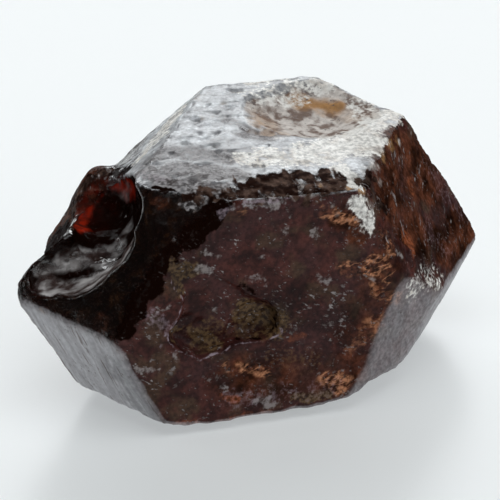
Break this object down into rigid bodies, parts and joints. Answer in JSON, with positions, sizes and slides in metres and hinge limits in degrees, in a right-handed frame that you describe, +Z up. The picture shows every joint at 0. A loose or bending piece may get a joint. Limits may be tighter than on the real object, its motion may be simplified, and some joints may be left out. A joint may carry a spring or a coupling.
{
  "type": "zircon crystal",
  "caption": "Loose, rough zircon crystal: a stubby four-sided prism with a pyramid at each end, dark red-brown, chipped at one end and pitted, lying on one prism face.",
  "frame": {"origin": "on the surface the crystal rests on, under the middle of its outline", "axes": "+Z up from the rest face, X along the crystal's length with the chipped end towards -X, -Y towards the large front prism face"},
  "size_m": [0.02, 0.0104, 0.0101],
  "materials": {
    "zircon": "dark red-brown, glassy to resinous, pitted, with rusty and whitish crusts"
  },
  "bodies": {
    "root": {"zircon_crystal": "zircon"}
  },
  "joints": []
}
